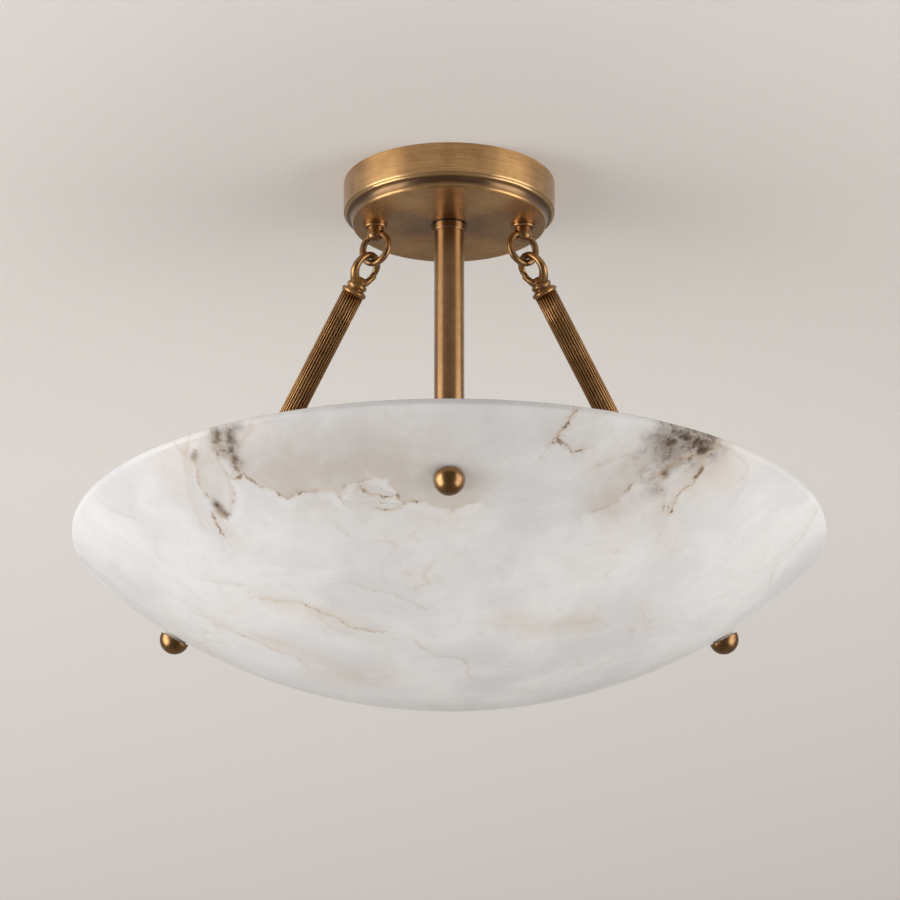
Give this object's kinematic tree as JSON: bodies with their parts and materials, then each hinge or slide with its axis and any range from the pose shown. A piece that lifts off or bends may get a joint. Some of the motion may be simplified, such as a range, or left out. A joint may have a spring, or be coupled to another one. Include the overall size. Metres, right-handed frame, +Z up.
{
  "type": "semi flush ceiling light",
  "caption": "Ceiling light with a shallow alabaster bowl hung close under a turned brass canopy by a central stem and slanting fluted stays, with three lamps inside the bowl.",
  "frame": {"origin": "middle of the crossbar's top face, on the ceiling plane, midway between the box-screw slots", "axes": "+Z up into the ceiling; the light hangs towards -Z; -Y is the front, where a finial and no stay is; +X is to the right seen from the front"},
  "size_m": [0.457, 0.457, 0.326],
  "materials": {
    "alabaster": "polished, slightly translucent, with grey-brown veins",
    "aged_brass": "antique finish, finely brushed",
    "zinc_steel": "zinc plated",
    "green_screw": "green dyed ground screw",
    "porcelain": "glazed",
    "bright_brass": "plain",
    "nickel": "nickel plated",
    "frosted_glass": "frosted inside",
    "rubber": "matt",
    "felt": "felt"
  },
  "bodies": {
    "fixture": {"back_lampholder": "porcelain", "back_screw_shell": "bright_brass", "bowl": "alabaster", "canopy": "aged_brass", "centre_contacts": "bright_brass", "cluster_cap_nut": "aged_brass", "cluster_cover": "aged_brass", "cluster_drum": "aged_brass", "cluster_lock_washer": "zinc_steel", "cluster_locknut": "zinc_steel", "cluster_nipple": "zinc_steel", "crossbar": "zinc_steel", "front_left_lampholder": "porcelain", "front_left_screw_shell": "bright_brass", "front_right_lampholder": "porcelain", "front_right_screw_shell": "bright_brass", "front_seat_nut": "zinc_steel", "ground_screw": "green_screw", "hanger_nuts": "zinc_steel", "hanger_washers": "zinc_steel", "inner_pads": "rubber", "left_ferrule": "aged_brass", "left_fluted_tube": "aged_brass", "left_hanger": "aged_brass", "left_hook_end": "aged_brass", "left_tie_rod": "zinc_steel", "outer_washers": "felt", "right_ferrule": "aged_brass", "right_fluted_tube": "aged_brass", "right_hanger": "aged_brass", "right_hook_end": "aged_brass", "right_tie_rod": "zinc_steel", "socket_nipples": "zinc_steel", "socket_nuts": "zinc_steel", "socket_spacers": "zinc_steel", "spider": "aged_brass", "stem_bottom_bush": "zinc_steel", "stem_top_bush": "zinc_steel", "stem_tube": "aged_brass", "top_lock_washer": "zinc_steel", "top_locknut": "zinc_steel", "top_nipple": "zinc_steel"},
    "canopy_collar": {"canopy_collar": "aged_brass"},
    "front_finial": {"front_finial": "aged_brass"},
    "left_finial": {"left_finial": "aged_brass"},
    "right_finial": {"right_finial": "aged_brass"},
    "left_ring": {"left_ring": "aged_brass"},
    "right_ring": {"right_ring": "aged_brass"},
    "front_right_bulb": {"front_right_bulb_base": "nickel", "front_right_bulb_glass": "frosted_glass"},
    "back_bulb": {"back_bulb_base": "nickel", "back_bulb_glass": "frosted_glass"},
    "front_left_bulb": {"front_left_bulb_base": "nickel", "front_left_bulb_glass": "frosted_glass"}
  },
  "joints": [
    {"name": "canopy_collar_turn", "type": "hinge", "parent": "fixture", "child": "canopy_collar", "pos_m": [0, 0, -0.0273], "axis": [0, 0, 1], "continuous": true},
    {"name": "front_finial_turn", "type": "hinge", "parent": "fixture", "child": "front_finial", "pos_m": [0, -0.19032, -0.26617], "axis": [0, -0.5721, -0.8202], "continuous": true},
    {"name": "left_finial_turn", "type": "hinge", "parent": "fixture", "child": "left_finial", "pos_m": [-0.16882, 0.08788, -0.26617], "axis": [-0.4588, 0.3272, -0.8261], "continuous": true},
    {"name": "right_finial_turn", "type": "hinge", "parent": "fixture", "child": "right_finial", "pos_m": [0.16882, 0.08788, -0.26617], "axis": [0.4588, 0.3272, -0.8261], "continuous": true},
    {"name": "front_right_bulb_turn", "type": "hinge", "parent": "fixture", "child": "front_right_bulb", "pos_m": [0.04763, -0.0275, -0.24729], "axis": [0.866, -0.5, 0], "continuous": true},
    {"name": "back_bulb_turn", "type": "hinge", "parent": "fixture", "child": "back_bulb", "pos_m": [0, 0.055, -0.24729], "axis": [0, 1, 0], "continuous": true},
    {"name": "front_left_bulb_turn", "type": "hinge", "parent": "fixture", "child": "front_left_bulb", "pos_m": [-0.04763, -0.0275, -0.24729], "axis": [-0.866, -0.5, 0], "continuous": true},
    {"name": "left_ring_turn", "type": "hinge", "parent": "fixture", "child": "left_ring", "pos_m": [-0.0456, 0, -0.0427], "axis": [0.5807, 0.8141, 0], "continuous": true},
    {"name": "right_ring_turn", "type": "hinge", "parent": "fixture", "child": "right_ring", "pos_m": [0.0456, 0, -0.0427], "axis": [-0.5807, 0.8141, 0], "continuous": true}
  ]
}
